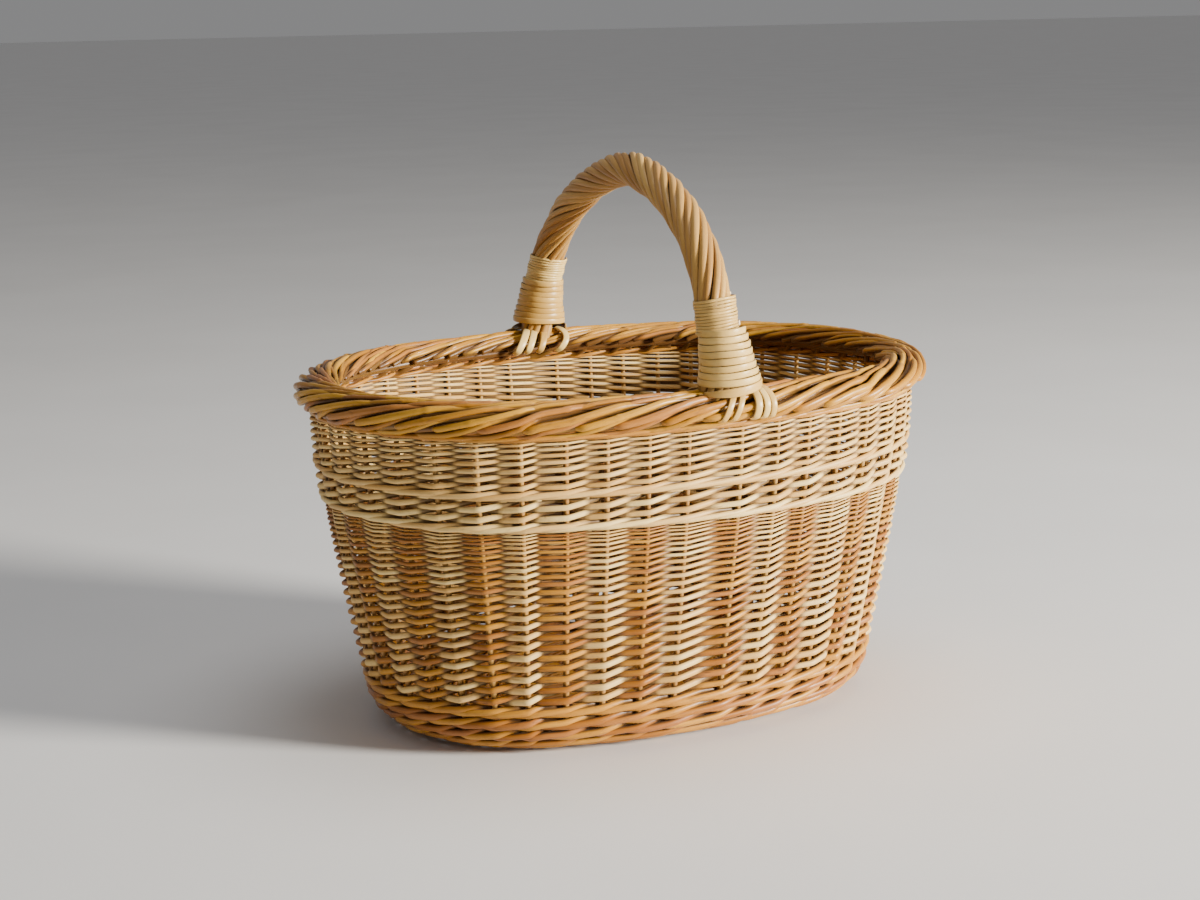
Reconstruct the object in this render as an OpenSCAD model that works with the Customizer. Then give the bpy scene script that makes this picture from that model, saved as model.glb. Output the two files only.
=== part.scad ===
// Oval willow basket with a roped bow handle. Millimetres, Z up.
// X runs along the length, Y across it; the floor is z = 0 under the middle of the base.

/* [Body] */
// Length of the base, out to the line of the stakes
base_len = 313; // [280:1:360]
// Width of the base, out to the line of the stakes
base_wid = 198; // [176:1:230]
// Radius of each rounded end of the base
end_r = 88; // [80:1:93]
// Height of the middle of the rolled border
wall_h = 236; // [200:1:280]
// Lean of the wall outward, in degrees from upright
lean = 11.3; // [6:0.1:15]
// Radius of the bend from the base into the wall
corner_r = 26; // [18:1:32]

/* [Willow] */
// Number of side stakes, a multiple of six
stakes_n = 42; // [36:6:42]
// Radius of a side stake
stake_r = 2.1; // [1.6:0.1:2.3]
// Radius of a wale rod at the foot of the wall
wale_r = 2.1; // [1.6:0.1:2.4]
// Extra space between the two stakes beside each foot of the bow
bow_gap = 11; // [0:1:14]
// Pairs of rounds in the striped weave
stripe_pairs = 22; // [12:1:22]
// Pairs of rounds in the white weave under the border
top_pairs = 7; // [4:1:8]

/* [Border] */
// Radius of a border rod
rod_r = 2.7; // [2:0.1:3]
// Half of the width of the border, to the middle of its rods
roll_w = 15.2; // [14:0.1:18]
// Half of the height of the border, to the middle of its rods
roll_h = 10.7; // [10:0.1:14]
// Stake spaces that one border rod crosses
roll_span = 3.5; // [2.5:0.5:4]

/* [Handle] */
// Height of the middle line of the bow
bow_top = 380; // [330:1:440]
// Radius of the bow rod inside the roping
bow_r = 7.4; // [5:0.1:7.6]
// Number of rods roped round the bow
rope_n = 12; // [8:1:12]
// Radius of one roping rod
rope_r = 2.2; // [1.6:0.1:2.3]
// Turns that the roping makes from foot to foot
rope_turns = 3; // [1:0.25:3.5]
// Sideways lean of the bow for each millimetre of height
bow_lean = 0.09; // [0:0.01:0.12]

/* [Hidden] */
$fn = 48;
half_a = base_len / 2;
half_b = base_wid / 2;
end_c = half_a - end_r;
side_r = (end_c * end_c + half_b * half_b - end_r * end_r) / (2 * (half_b - end_r));
side_y = side_r - half_b;
turn = atan2(side_y, end_c);

// Wall profile: flat foot, bend, straight, and a gentle bend to the border.
foot_z = 7.6;
tip_lean = 2.5;
bend_top = foot_z + corner_r * (1 - sin(lean));
bend_out = corner_r * cos(lean);
bulge_z = wall_h - 96;
bulge_out = bend_out + (bulge_z - bend_top) * tan(lean);
bulge_r = 96 / (sin(lean) - sin(tip_lean));
stake_top = wall_h - 7.2;

// How far the line of the stakes stands outside the base line at height z.
function wall(z) = z < bend_top
    ? sqrt(max(0, pow(corner_r, 2) - pow(foot_z + corner_r - z, 2)))
    : z < bulge_z ? bend_out + (z - bend_top) * tan(lean)
    : bulge_out + bulge_r * (cos(asin(sin(lean) - (z - bulge_z) / bulge_r)) - cos(lean));

rim_out = wall(wall_h) - 4.3;
mid_out = wall(wall_h * 0.6);

// Point of the oval that stands out by o, where its outward normal points along th.
function fold(th) = atan2(abs(sin(th)), abs(cos(th)));
function sx(th) = cos(th) < 0 ? -1 : 1;
function sy(th) = sin(th) < 0 ? -1 : 1;
function oval(th, o) = fold(th) < turn
    ? [sx(th) * (end_c + (end_r + o) * cos(fold(th))), sy(th) * (end_r + o) * sin(fold(th))]
    : [sx(th) * (side_r + o) * cos(fold(th)), sy(th) * ((side_r + o) * sin(fold(th)) - side_y)];

// Stakes share the outline at mid height evenly, apart from the space at each foot of the bow.
deg = 180 / PI;
end_arc = (end_r + mid_out) * turn / deg;
side_arc = (side_r + mid_out) * (90 - turn) / deg;
quarter = end_arc + side_arc;
squeeze = 1 - bow_gap / 2 / quarter;
function quad_angle(r) = r < end_arc
    ? r / (end_r + mid_out) * deg
    : turn + (r - end_arc) / (side_r + mid_out) * deg;
function from_end(f) = f < 0.5 ? f * 2 : 2 - f * 2;
function half_angle(f) = f < 0.5 ? quad_angle(from_end(f) * quarter * squeeze)
    : 180 - quad_angle(from_end(f) * quarter * squeeze);
function whole(k) = k - stakes_n * floor(k / stakes_n);
function turn_of(k) = whole(k) * 2 < stakes_n
    ? half_angle(whole(k) * 2 / stakes_n)
    : 180 + half_angle(whole(k) * 2 / stakes_n - 1);
function lift(k) = floor(k / stakes_n) * 360;
function stake_th(k) = turn_of(k) + lift(k);
function between(k) = stake_th(floor(k)) + (k - floor(k)) * (stake_th(floor(k) + 1) - stake_th(floor(k)));

// Heights of the weave, from the foot up.
stripe_z = bend_top + 12.4;
stripe_end = 161.5 * wall_h / 236;
low_wale_z = stripe_end + 0.6;
plain_z = low_wale_z + 8;
high_wale_z = plain_z + 14;
top_z = high_wale_z + 8;
rim_wale_z = wall_h - 13.4;

// Height at which pair k of n starts when the rods get finer from z0 up to z1.
function taper(k, n, z0, z1, thin) = let (u = k / n)
    z0 + (z1 - z0) * (u - thin * pow(u, 2.3) / 2.3) / (1 - thin / 2.3);

hair = 10;
white = [0.93, 0.85, 0.68];
buff = [0.72, 0.45, 0.2];
amber = [0.79, 0.53, 0.22];
pale = [0.9, 0.76, 0.53];

// Round of the oval at height z: rods laid end to end, with a hair between their ends.
// ends and sides say how many rods make each end and each side of it.
module ring(o, z, r, low = 0, ends = 1, sides = 1) {
    for (m = [0, 1]) {
        mirror([m, 0, 0]) translate([end_c, 0, z]) arcs(-turn, turn * 2, ends, end_r + o, r, low);
        mirror([0, m, 0]) translate([0, -side_y, z]) arcs(turn, 180 - turn * 2, sides, side_r + o, r, low);
    }
}
module arcs(start, sweep, n, radius, r, low) {
    for (k = [0:n - 1])
        rotate([0, 0, start + k * sweep / n + hair / radius])
            rotate_extrude(angle = sweep / n - 2 * hair / radius)
                translate([radius, 0])
                    rod_face(r, low);
}

// Cross-section of a rod; low cuts its underside flat.
module rod_face(r, low) {
    if (low == 0) circle(r);
    else intersection() {
        circle(r);
        translate([-r, -r * low]) square([r * 2, r * 3]);
    }
}

// Woven round: in front of a stake or behind it, as side_of says. A cut one is rods laid end to
// end, each past three spaces; the others are closed.
function side_of(k, gap, step) = gap == 2
    ? (whole(k + step) % 2 == 0 ? 1 : -1)
    : (whole(k + step) % 3 == 0 ? -1 : 1);
function weave_pt(k, nudge, z, gap, step, push, shift) =
    oval(between(k + nudge), wall(z) + side_of(k, gap, step) * push + shift);
module weave(z, h, thick, gap, step, cut) {
    push = stake_r + thick / 2 + 0.7;
    mid = z + h / 2;
    translate([0, 0, z])
        linear_extrude(h)
            if (cut) for (g = [0:3:stakes_n - 3]) {
                nudges = [0.01, 0, 0, -0.01];
                polygon(concat(
                    [for (j = [0:3]) weave_pt(g + j, nudges[j], mid, gap, step, push, thick / 2)],
                    [for (j = [3:-1:0]) weave_pt(g + j, nudges[j], mid, gap, step, push, -thick / 2)]
                ));
            }
            else difference() {
                polygon([for (k = [0:stakes_n - 1]) weave_pt(k, 0, mid, gap, step, push, thick / 2)]);
                polygon([for (k = [0:stakes_n - 1]) weave_pt(k, 0, mid, gap, step, push, -thick / 2)]);
            }
}

// One wale in three strands, each behind every third stake.
module wale(z, h, thick, cut) {
    for (s = [0:2])
        weave(z + s * h, h - 0.25, thick, 3, s, cut);
}

// Pairs of rounds; which picks the round in front of the odd or the even stakes.
module pairs(n, z0, z1, thin, which, cut) {
    for (k = [0:n - 1]) {
        lo = taper(k, n, z0, z1, thin);
        h = (taper(k + 1, n, z0, z1, thin) - lo) / 2;
        weave(lo + h * which, h - 0.25, min(3.2, max(1.4, h * 0.85)), 2, 1 - which, cut);
    }
}

// Rods along the base.
slot_r = 3.5;
long_y = 8.4;
cross_n = 3;
module cross_sticks() {
    color(buff)
        for (k = [-cross_n:cross_n])
            difference() {
                stick_y(stick_x(k), foot_z);
                for (j = [-2:2])
                    translate([stick_x(k), j * long_y, foot_z]) cube([slot_r * 4, 6.6, 5.4], center = true);
            }
}
function stick_x(k) = oval(between(stakes_n * 0.75 + k), 0)[0];
function stick_half(x) = sqrt(max(0, pow(side_r, 2) - x * x)) - side_y - 12;
module stick_y(x, z) {
    translate([x, 0, z])
        rotate([90, 0, 0])
            cylinder(r = slot_r, h = stick_half(x) * 2, center = true);
}
module long_sticks() {
    color(buff)
        for (j = [-2:2])
            translate([0, j * long_y, foot_z])
                cube([(half_a - 26) * 2 - abs(j) * 10, 6, 4.8], center = true);
}

// Rounds of the base weave, below and above the sticks.
base_step = 5.2;
base_rounds = floor((end_r - 7) / base_step);
module base_under() {
    color(buff)
        for (k = [0:base_rounds - 1])
            ring(-2 - k * base_step, 1.33, 1.9, 0.7);
}
module base_over() {
    color(buff)
        for (k = [0:base_rounds - 1])
            ring(-2 - k * base_step, foot_z + slot_r + 2.1, 1.9);
}

// One side stake: foot in the base, bend, straight, and the gentle bend to the border.
// Each point of its middle line is [out, z, rise of the line in degrees].
stake_t = stake_r * 0.9;
stake_w = stake_r * 1.5;
tip_b = asin(sin(lean) - (stake_top - bulge_z) / bulge_r);
bends = [for (a = [0:0.25:1]) a * (90 - lean)];
bulges = [lean, (lean + tip_b) / 2, tip_b];
stake_line = concat(
    [[-16, foot_z, 0]],
    [for (a = bends) [corner_r * sin(a), foot_z + corner_r * (1 - cos(a)), a]],
    [for (b = bulges) [
        bulge_out + bulge_r * (cos(b) - cos(lean)), bulge_z + bulge_r * (sin(lean) - sin(b)), 90 - b
    ]]
);
function beside(p, t) = [p[0] + t * sin(p[2]), p[1] - t * cos(p[2])];
module stake(th) {
    n = len(stake_line);
    translate(oval(th, 0))
        rotate([0, 0, th])
            rotate([90, 0, 0])
                translate([0, 0, -stake_w / 2])
                    linear_extrude(stake_w)
                        polygon(concat(
                            [for (p = stake_line) beside(p, stake_t)],
                            [for (i = [n - 1:-1:0]) beside(stake_line[i], -stake_t)]
                        ));
}
module stakes_odd() {
    color(buff) for (k = [1:2:stakes_n - 1]) stake(stake_th(k));
}
module stakes_even() {
    color(buff) for (k = [0:2:stakes_n - 2]) stake(stake_th(k));
}

// Rounds of wale at the foot of the wall: two rods outside the stakes and one inside.
// Each round is set by its turn up the bend; the last is on the straight above it.
foot_turns = [14, 34, 54, 74];
foot_high = bend_top + 7;
foot_away = stake_r + wale_r + 0.25;
foot_step = wale_r * 2 + 0.3;
module foot_ring(k, up, away, ends, sides) {
    a = k < 4 ? foot_turns[k] + up * foot_step / (corner_r + away) * deg : 90 - lean;
    z = k < 4 ? foot_z + corner_r - (corner_r + away) * cos(a)
        : foot_high + up * foot_step * cos(lean) - away * sin(lean);
    o = k < 4 ? (corner_r + away) * sin(a)
        : bend_out + (foot_high - bend_top) * tan(lean) + up * foot_step * sin(lean) + away * cos(lean);
    ring(o, z, wale_r, 0, ends, sides);
}
module foot_wale(k) {
    color(buff)
        for (up = [-0.5, 0.5])
            foot_ring(k, up, foot_away, 5, 2);
}
module foot_wale_1() foot_wale(0);
module foot_wale_2() foot_wale(1);
module foot_wale_3() foot_wale(2);
module foot_wale_4() foot_wale(3);
module foot_wale_5() foot_wale(4);
module foot_wale_inside() {
    color(buff)
        for (k = [0:4])
            foot_ring(k, 0, -foot_away, 1, 1);
}

module stripe_white() {
    color(white) pairs(stripe_pairs, stripe_z, stripe_end, 0.72, 0, true);
}
module stripe_buff() {
    color(buff) pairs(stripe_pairs, stripe_z, stripe_end, 0.72, 1, false);
}
module low_wale() {
    color(white) wale(low_wale_z, 2.6, 3, true);
}
module plain_odd() {
    color(white) pairs(2, plain_z, high_wale_z - 0.4, 0, 0, true);
}
module plain_even() {
    color(white) pairs(2, plain_z, high_wale_z - 0.4, 0, 1, false);
}
module high_wale() {
    color(white) wale(high_wale_z, 2.5, 3, true);
}
module top_odd() {
    color(white) pairs(top_pairs, top_z, rim_wale_z - 0.4, 0.6, 0, true);
}
module top_even() {
    color(white) pairs(top_pairs, top_z, rim_wale_z - 0.4, 0.6, 1, false);
}
module rim_wale_1() {
    color(buff) wale(rim_wale_z, 1.25, 2, false);
}
module rim_wale_2() {
    color(buff) wale(rim_wale_z + 3.8, 1.25, 2, false);
}

// Rolled border: a core of bent-down stakes, and a rod for each stake rolled over it.
module border_core() {
    color(amber) ring(rim_out, wall_h, roll_h - rod_r - 1.4, 0, 5, 2);
}
function roll_pt(k, a) = let (p = oval(between(k), rim_out + roll_w * cos(a)))
    [p[0], p[1], wall_h + roll_h * sin(a)];
function unit(v) = v / norm(v);
function hoop(p, t, r, n, q) = let (u = unit(cross(t, [0, 0, 1])), v = cross(u, t))
    [for (j = [0:n - 1]) p + r * (cos(j * 360 / n + q) * u + sin(j * 360 / n + q) * v)];
module tube(rings, n) {
    m = len(rings);
    polyhedron(
        points = [for (i = [0:m - 1], j = [0:n - 1]) rings[i][j]],
        faces = concat(
            [[for (j = [0:n - 1]) j]],
            [for (i = [0:m - 2], j = [0:n - 1]) [i * n + j, (i + 1) * n + j, (i + 1) * n + (j + 1) % n]],
            [for (i = [0:m - 2], j = [0:n - 1]) [i * n + j, (i + 1) * n + (j + 1) % n, i * n + (j + 1) % n]],
            [[for (j = [n - 1:-1:0]) (m - 1) * n + j]]
        )
    );
}
roll_from = -34;
roll_to = 150;
roll_steps = 7;
module border_rod(k) {
    path = [for (i = [0:roll_steps])
        roll_pt(k + 0.6 + roll_span * i / roll_steps, roll_from + (roll_to - roll_from) * i / roll_steps)];
    rings = [for (i = [0:roll_steps])
        hoop(path[i], unit(path[min(i + 1, roll_steps)] - path[max(i - 1, 0)]), rod_r, 5, 18)];
    tube(rings, 5);
}
module border_rods_odd() {
    color(amber) for (k = [1:2:stakes_n - 1]) border_rod(k);
}
module border_rods_even() {
    color(amber) for (k = [0:2:stakes_n - 2]) border_rod(k);
}
// Follow-on rods along the outer lower edge, one for each space between stakes.
module border_follow() {
    color(amber)
        for (k = [0:stakes_n - 1]) {
            a = oval(between(k + 0.06), rim_out + 14.7);
            b = oval(between(k + 0.94), rim_out + 14.7);
            z = wall_h - roll_h - 0.6;
            translate([a[0], a[1], z])
                rotate([0, 0, atan2(b[1] - a[1], b[0] - a[0])])
                    rotate([0, 90, 0]) cylinder(r = 2.5, h = norm(b - a));
        }
}

// Middle line of the bow, from the front foot (u = 0) over the top to the rear foot (u = 1).
bow_z = 215 / 236 * wall_h;
bow_half = half_b + rim_out;
function bow_t(u) = 90 * pow(1 - abs(2 * u - 1), 1.45);
function bow(u) = let (t = bow_t(u), z = (bow_top - bow_z) * pow(sin(t), 0.622))
    [z * bow_lean, (u < 0.5 ? -1 : 1) * bow_half * pow(cos(t), 1.282), bow_z + z];
foot_u = 0.0675;
bow_steps = 30;
function bow_u(i) = foot_u + (1 - 2 * foot_u) * i / bow_steps;
bow_flat = unit([1, 0, -bow_lean]);
function bow_dir(i) = unit(bow(bow_u(i + 0.3)) - bow(bow_u(i - 0.3)));
function bow_hoop(c, i, r, n, q) = let (t = bow_dir(i), v = cross(bow_flat, t))
    [for (j = [0:n - 1]) c + r * (cos(j * 360 / n + q) * bow_flat + sin(j * 360 / n + q) * v)];
module bow_rod() {
    color(pale)
        tube([for (i = [0:bow_steps]) bow_hoop(bow(bow_u(i)), i, bow_r, 10, 0)], 10);
}
rope_at = bow_r + rope_r + 0.4;
module rope(s) {
    rings = [for (i = [0:bow_steps])
        let (q = 360 * s / rope_n - rope_turns * 360 * i / bow_steps, t = bow_dir(i), v = cross(bow_flat, t))
        bow_hoop(bow(bow_u(i)) + rope_at * (cos(q) * bow_flat + sin(q) * v), i, rope_r, 5, q)];
    color(pale) tube(rings, 5);
}
module rope_rods_odd() {
    for (s = [1:2:rope_n - 1]) rope(s);
}
module rope_rods_even() {
    for (s = [0:2:rope_n - 1]) rope(s);
}

// Bindings: flat turns round each foot of the bow. side is -1 in front and 1 behind.
wrap_r = rope_at + rope_r + 0.5;
low_turns = 9;
high_turns = 10;
low_wrap_z = wall_h + roll_h + rod_r + 1;
low_h = 4.4;
high_h = 1.95;
function bow_y(z) = let (t = asin(pow((z - bow_z) / (bow_top - bow_z), 1 / 0.622)))
    bow_half * pow(cos(t), 1.282);
module washer(w, r) {
    union() {
        for (m = [-1, 1]) translate([m * w, 0]) circle(r);
        translate([-w, -r]) square([w * 2, r * 2]);
    }
}
module turn_of_skein(z, side, w, h) {
    translate([(z - bow_z) * bow_lean, side * bow_y(z + h / 2), z])
        linear_extrude(h)
            difference() {
                washer(w, wrap_r + 1.3);
                washer(w, wrap_r);
            }
}
module low_binding(side) {
    color(pale)
        for (k = [0:low_turns - 1])
            turn_of_skein(low_wrap_z + k * low_h, side, 9 - k * 0.75, low_h - 0.2);
}
module high_binding(side) {
    color(pale)
        for (k = [0:high_turns - 1])
            turn_of_skein(low_wrap_z + low_turns * low_h + k * high_h, side, 0.6, high_h - 0.2);
}
module low_binding_front() low_binding(-1);
module low_binding_back() low_binding(1);
module high_binding_front() high_binding(-1);
module high_binding_back() high_binding(1);

// Tails: flat strips from each binding over the border, tucked at its lower edge.
tail_w = 4.2;
tail_thick = 1.5;
module tail(side, x, fan, from, to) {
    rx = (roll_w + rod_r + 1) / cos(fan);
    rz = roll_h + rod_r + 0.6;
    n = 10;
    line = [for (i = [0:n]) from + (to - from) * i / n];
    translate([x, side * (half_b + rim_out), wall_h])
        rotate([0, 0, (side < 0 ? -90 : 90) + fan])
            rotate([90, 0, 0])
                translate([0, 0, -tail_w / 2])
                    linear_extrude(tail_w)
                        polygon(concat(
                            [for (a = line) [rx * cos(a), rz * sin(a)]],
                            [for (i = [n:-1:0]) [(rx + tail_thick) * cos(line[i]), (rz + tail_thick) * sin(line[i])]]
                        ));
}
fan_out = [-26, -14, 6, 17, 28];
module outer_tails(side) {
    color(pale)
        for (j = [0:4])
            tail(side, (j - 2) * 6.2 * (side < 0 ? 1 : -1), fan_out[j], 50, -26);
}
module inner_tails(side) {
    color(pale)
        for (j = [0:3])
            tail(side, (1.5 - j) * 7 * (side < 0 ? 1 : -1), (j - 1.5) * 12, 128, 196);
}
module tails_out_front() outer_tails(-1);
module tails_out_back() outer_tails(1);
module tails_in_front() inner_tails(-1);
module tails_in_back() inner_tails(1);

cross_sticks();
long_sticks();
base_under();
base_over();
stakes_odd();
stakes_even();
foot_wale_1();
foot_wale_2();
foot_wale_3();
foot_wale_4();
foot_wale_5();
foot_wale_inside();
stripe_white();
stripe_buff();
low_wale();
plain_odd();
plain_even();
high_wale();
top_odd();
top_even();
rim_wale_1();
rim_wale_2();
border_core();
border_rods_odd();
border_rods_even();
border_follow();
bow_rod();
rope_rods_odd();
rope_rods_even();
low_binding_front();
low_binding_back();
high_binding_front();
high_binding_back();
tails_out_front();
tails_out_back();
tails_in_front();
tails_in_back();
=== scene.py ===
import math
import random

import bmesh
import bpy
import numpy as np
from mathutils import Matrix, Vector


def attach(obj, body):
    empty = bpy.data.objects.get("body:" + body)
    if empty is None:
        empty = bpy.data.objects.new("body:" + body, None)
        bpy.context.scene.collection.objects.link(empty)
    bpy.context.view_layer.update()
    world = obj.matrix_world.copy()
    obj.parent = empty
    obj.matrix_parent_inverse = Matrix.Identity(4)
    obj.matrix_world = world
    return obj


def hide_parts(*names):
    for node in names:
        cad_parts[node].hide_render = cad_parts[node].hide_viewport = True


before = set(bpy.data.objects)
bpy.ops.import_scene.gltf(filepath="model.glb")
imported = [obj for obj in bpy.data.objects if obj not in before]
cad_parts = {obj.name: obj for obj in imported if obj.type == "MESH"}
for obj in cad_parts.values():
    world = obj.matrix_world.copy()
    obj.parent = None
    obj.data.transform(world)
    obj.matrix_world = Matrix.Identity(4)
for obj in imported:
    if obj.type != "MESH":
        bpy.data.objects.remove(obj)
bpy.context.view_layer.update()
mm = 0.001
random.seed(42)

# ---- outline of the basket: a four-arc oval that leans out as it rises ----

body = {
    "baseLength": 313 * mm,
    "baseWidth": 198 * mm,
    "endRadius": 88 * mm,
    "wallHeight": 236 * mm,   # middle of the rolled border
    "lean": math.radians(11.3),
    "cornerRadius": 26 * mm,
    "footHeight": 7.6 * mm,   # middle of the base rods
    "topLean": math.radians(2.5),
    "bulgeHeight": 96 * mm,   # stretch below the border where the wall straightens up
    "stakes": 42,
    "stakeRadius": 2.1 * mm,
    "bowGap": 11 * mm,        # extra space between the two stakes beside each foot of the bow
}

halfA, halfB, endR = body["baseLength"] / 2, body["baseWidth"] / 2, body["endRadius"]
endC = halfA - endR
sideR = (endC ** 2 + halfB ** 2 - endR ** 2) / (2 * (halfB - endR))
sideY = sideR - halfB
turnAt = math.atan2(sideY, endC)
lean, topLean = body["lean"], body["topLean"]
cornerR, footZ, wallH = body["cornerRadius"], body["footHeight"], body["wallHeight"]
bendTop = footZ + cornerR * (1 - math.sin(lean))
bendOut = cornerR * math.cos(lean)
bulgeZ = wallH - body["bulgeHeight"]
bulgeOut = bendOut + (bulgeZ - bendTop) * math.tan(lean)
bulgeR = body["bulgeHeight"] / (math.sin(lean) - math.sin(topLean))
stakeCount = body["stakes"]
stakeR = body["stakeRadius"]


def ovalPoint(theta, out):
    cosT, sinT = np.cos(theta), np.sin(theta)
    fold = np.arctan2(np.abs(sinT), np.abs(cosT))
    end = fold < turnAt
    x = np.where(end, endC + (endR + out) * np.cos(fold), (sideR + out) * np.cos(fold))
    y = np.where(end, (endR + out) * np.sin(fold), (sideR + out) * np.sin(fold) - sideY)
    return np.where(cosT < 0, -x, x), np.where(sinT < 0, -y, y)


def wallProfile():
    # middle line of the wall as length along it, distance out, height and slope
    bend = np.linspace(0, math.pi / 2 - lean, 40)
    straight = np.linspace(0, 1, 30)[1:]
    bulge = np.linspace(lean, topLean - 0.02, 50)[1:]
    out = np.concatenate([cornerR * np.sin(bend), bendOut + (bulgeOut - bendOut) * straight,
                          bulgeOut + bulgeR * (np.cos(bulge) - math.cos(lean))])
    up = np.concatenate([footZ + cornerR * (1 - np.cos(bend)), bendTop + (bulgeZ - bendTop) * straight,
                         bulgeZ + bulgeR * (math.sin(lean) - np.sin(bulge))])
    slope = np.concatenate([bend, np.full(29, math.pi / 2 - lean), math.pi / 2 - bulge])
    along = np.concatenate([[0], np.cumsum(np.hypot(np.diff(out), np.diff(up)))])
    return along, out, up, slope


wallAlong, wallOutward, wallUp, wallSlope = wallProfile()
rimOut = float(np.interp(wallH, wallUp, wallOutward)) - 4.3 * mm


def stakeTurns():
    midOut = float(np.interp(wallH * 0.6, wallUp, wallOutward))
    endArc = (endR + midOut) * turnAt
    quarter = endArc + (sideR + midOut) * (math.pi / 2 - turnAt)
    squeeze = 1 - body["bowGap"] / 2 / quarter
    turns = []
    for k in range(stakeCount):
        f = 4 * k / stakeCount
        part, rest = int(f), f - int(f)
        r = (rest if part % 2 == 0 else 1 - rest) * quarter * squeeze
        a = r / (endR + midOut) if r < endArc else turnAt + (r - endArc) / (sideR + midOut)
        turns.append([a, math.pi - a, math.pi + a, 2 * math.pi - a][part] + random.uniform(-1, 1) * 0.003)
    return np.array(turns + [turns[0] + 2 * math.pi])


stakeTurn = stakeTurns()


def turnOf(k):
    k = np.asarray(k, float)
    laps = np.floor(k / stakeCount)
    return np.interp(k - laps * stakeCount, np.arange(stakeCount + 1), stakeTurn) + laps * 2 * math.pi


def wallLength(z):
    return np.interp(z, wallUp, wallAlong)


def wallPath(k, along, push):
    # points on the wall: k in stake spaces, along in metres up the wall, push outward from its middle
    theta = turnOf(k)
    # rows wander up and down by half a millimetre, but not at the foot or the top
    drift = 0.5 * mm * (np.sin(3 * theta + along * 21) + 0.7 * np.sin(7 * theta - along * 33 + 1.3))
    free = np.clip((along - 0.03) / 0.03, 0, 1) * np.clip((wallAlong[-1] - along) / 0.03, 0, 1)
    along = along + drift * free
    slope = np.interp(along, wallAlong, wallSlope)
    out = np.interp(along, wallAlong, wallOutward) + push * np.sin(slope)
    up = np.interp(along, wallAlong, wallUp) - push * np.cos(slope)
    x, y = ovalPoint(theta, out)
    facing = np.stack([np.cos(theta) * np.sin(slope), np.sin(theta) * np.sin(slope), -np.cos(slope)], -1)
    return np.stack([x, y, up], -1), facing


# ---- rods: a straight tube is extruded once, then laid along each path ----

tubes = {}


def straightTube(rings, sides):
    # a tube of unit radius with one ring at each whole number along X, closed at both ends
    if (rings, sides) not in tubes:
        bm = bmesh.new()
        bmesh.ops.create_circle(bm, segments=sides, radius=1)
        bmesh.ops.rotate(bm, verts=bm.verts, cent=(0, 0, 0), matrix=Matrix.Rotation(math.pi / 2, 3, "Y"))
        bmesh.ops.spin(bm, geom=bm.verts[:] + bm.edges[:], cent=(0, 0, 0), axis=(1, 0, 0),
                       dvec=(1, 0, 0), angle=0, steps=rings - 1, use_merge=False, use_duplicate=False)
        bmesh.ops.holes_fill(bm, edges=bm.edges[:], sides=sides)
        bmesh.ops.recalc_face_normals(bm, faces=bm.faces[:])
        mesh = bpy.data.meshes.new("tube")
        bm.to_mesh(mesh)
        bm.free()
        spots = np.empty(len(mesh.vertices) * 3)
        mesh.vertices.foreach_get("co", spots)
        spots = spots.reshape(-1, 3)
        ring = np.rint(spots[:, 0]).astype(int)
        around = np.arctan2(spots[:, 2], spots[:, 1])
        tubes[rings, sides] = mesh, ring, around
    return tubes[rings, sides]


def unit(v):
    return v / np.maximum(np.linalg.norm(v, axis=-1, keepdims=True), 1e-12)


def rod(path, radius, facing, flat=1.0, square=1.0, side=1.0, deep=0.0):
    # flat squeezes the rod in the facing direction, square under 1 gives a strip with sharper edges,
    # side is 1 where the rod shows its facing side and -1 where it shows its back, deep is how sunk it lies
    # side and deep set how much painted shade the rod gets where it lies behind or between its neighbours
    path, facing = np.asarray(path, float), np.asarray(facing, float)
    radius, flat, side, deep = [np.broadcast_to(np.asarray(v, float), len(path))
                                for v in (radius, flat, side, deep)]
    # the cut ends are chamfered by a quarter of the radius
    chamfer, endShare = 0.25, 0.78
    first = path[0] + unit(path[1] - path[0]) * radius[0] * chamfer
    last = path[-1] + unit(path[-2] - path[-1]) * radius[-1] * chamfer
    path = np.vstack([path[:1], first, path[1:-1], last, path[-1:]])
    facing = np.vstack([facing[:1], facing, facing[-1:]])
    radius = np.concatenate([radius[:1] * endShare, radius, radius[-1:] * endShare])
    flat, side, deep = [np.concatenate([v[:1], v, v[-1:]]) for v in (flat, side, deep)]
    tone = (random.random(), random.random(), random.random())
    return {"path": path, "radius": radius, "facing": facing, "flat": flat, "square": square, "tone": tone,
            "side": side, "deep": deep}


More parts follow.
